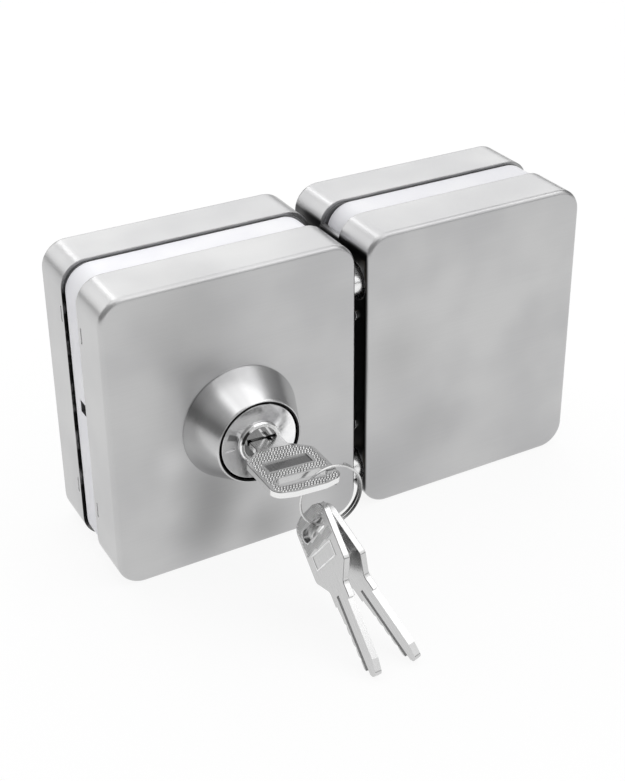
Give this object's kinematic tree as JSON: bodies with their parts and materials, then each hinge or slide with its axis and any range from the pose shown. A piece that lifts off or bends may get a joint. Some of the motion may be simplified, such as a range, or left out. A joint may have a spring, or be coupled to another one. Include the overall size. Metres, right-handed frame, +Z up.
{
  "type": "glass door lock",
  "caption": "Keyed patch lock for a frameless double glass door: lock unit with cone cylinder and two round bolts, matching strike unit, keys on a split ring.",
  "frame": {"origin": "middle of the gap between the two units, at mid thickness and mid height", "axes": "+X from the lock unit to the strike unit, +Y from the keyed front to the back, +Z up"},
  "size_m": [0.1708, 0.1229, 0.1002],
  "materials": {
    "cover_steel": "satin brushed",
    "bright_steel": "polished",
    "jaw_zinc": "cast, fine grained",
    "screw_steel": "plain",
    "brass_parts": "turned",
    "key_steel": "nickel plated, knurled bow",
    "spring_steel": "plain",
    "white_board": "smooth matt white"
  },
  "bodies": {
    "lock_body": {"lock_front_cover": "cover_steel", "lock_back_cover": "cover_steel", "lock_front_jaw": "jaw_zinc", "lock_back_jaw": "jaw_zinc", "lock_clamp_screws": "screw_steel", "lock_spine": "cover_steel", "lock_spine_screws": "screw_steel", "cone_escutcheon": "cover_steel", "cylinder_body": "bright_steel", "cylinder_nut": "brass_parts", "driver_pins": "brass_parts", "pin_springs": "spring_steel", "pin_caps": "brass_parts", "carriage_pins": "screw_steel", "upper_bolt_guide": "jaw_zinc", "lower_bolt_guide": "jaw_zinc", "bolt_bushes": "brass_parts", "guide_screws": "screw_steel"},
    "turning_plug": {"plug": "bright_steel", "plug_clip": "spring_steel", "drive_pinion": "screw_steel", "pinion_screw": "screw_steel", "key_pins": "brass_parts"},
    "bolt_slide": {"bolt_carriage": "screw_steel", "upper_bolt": "bright_steel", "lower_bolt": "bright_steel", "bolt_screws": "screw_steel"},
    "lock_board": {"lock_filler_board": "white_board"},
    "door_key": {"key_in_lock": "key_steel"},
    "key_ring": {"split_ring": "spring_steel"},
    "left_spare_key": {"hanging_key_left": "key_steel"},
    "right_spare_key": {"hanging_key_right": "key_steel"},
    "strike_unit": {"strike_front_cover": "cover_steel", "strike_back_cover": "cover_steel", "strike_front_jaw": "jaw_zinc", "strike_back_jaw": "jaw_zinc", "strike_clamp_screws": "screw_steel", "strike_spine": "cover_steel", "strike_spine_screws": "screw_steel", "strike_keeper": "screw_steel", "upper_socket": "screw_steel", "lower_socket": "screw_steel", "keeper_screws": "screw_steel", "keeper_foot_screws": "screw_steel"},
    "strike_board": {"strike_filler_board": "white_board"}
  },
  "joints": [
    {"name": "plug_turn", "type": "hinge", "parent": "lock_body", "child": "turning_plug", "pos_m": [-0.0434, -0.026, -0.0018], "axis": [0, 1, 0], "range_deg": [-3, 87]},
    {"name": "bolt_throw", "type": "slide", "parent": "lock_body", "child": "bolt_slide", "axis": [-1, 0, 0], "range_m": [-0.00035, 0.0092]},
    {"name": "key_pull", "type": "slide", "parent": "turning_plug", "child": "door_key", "axis": [0, -1, 0], "range_m": [0, 0.028]},
    {"name": "ring_swing", "type": "hinge", "parent": "door_key", "child": "key_ring", "pos_m": [-0.03229, -0.06095, -0.00133], "axis": [1, 0, 0], "range_deg": [-12, 12]},
    {"name": "left_key_swing", "type": "hinge", "parent": "key_ring", "child": "left_spare_key", "pos_m": [-0.03707, -0.06067, -0.01978], "axis": [0.8819, 0.0204, -0.4709], "range_deg": [-10, 6]},
    {"name": "right_key_swing", "type": "hinge", "parent": "key_ring", "child": "right_spare_key", "pos_m": [-0.03352, -0.0606, -0.0209], "axis": [0.9923, 0.0204, -0.1218], "range_deg": [-6, 20]},
    {"name": "lock_board_slide", "type": "slide", "parent": "lock_body", "child": "lock_board", "axis": [-1, 0, 0], "range_m": [0, 0.085]},
    {"name": "leaf_parting", "type": "slide", "parent": "lock_body", "child": "strike_unit", "axis": [1, 0, 0], "range_m": [0, 0.03]},
    {"name": "strike_board_slide", "type": "slide", "parent": "strike_unit", "child": "strike_board", "axis": [1, 0, 0], "range_m": [0, 0.083]}
  ],
  "couplings": [
    {"joint": "bolt_throw", "follows": "plug_turn", "m_per_rad": 0.006}
  ]
}
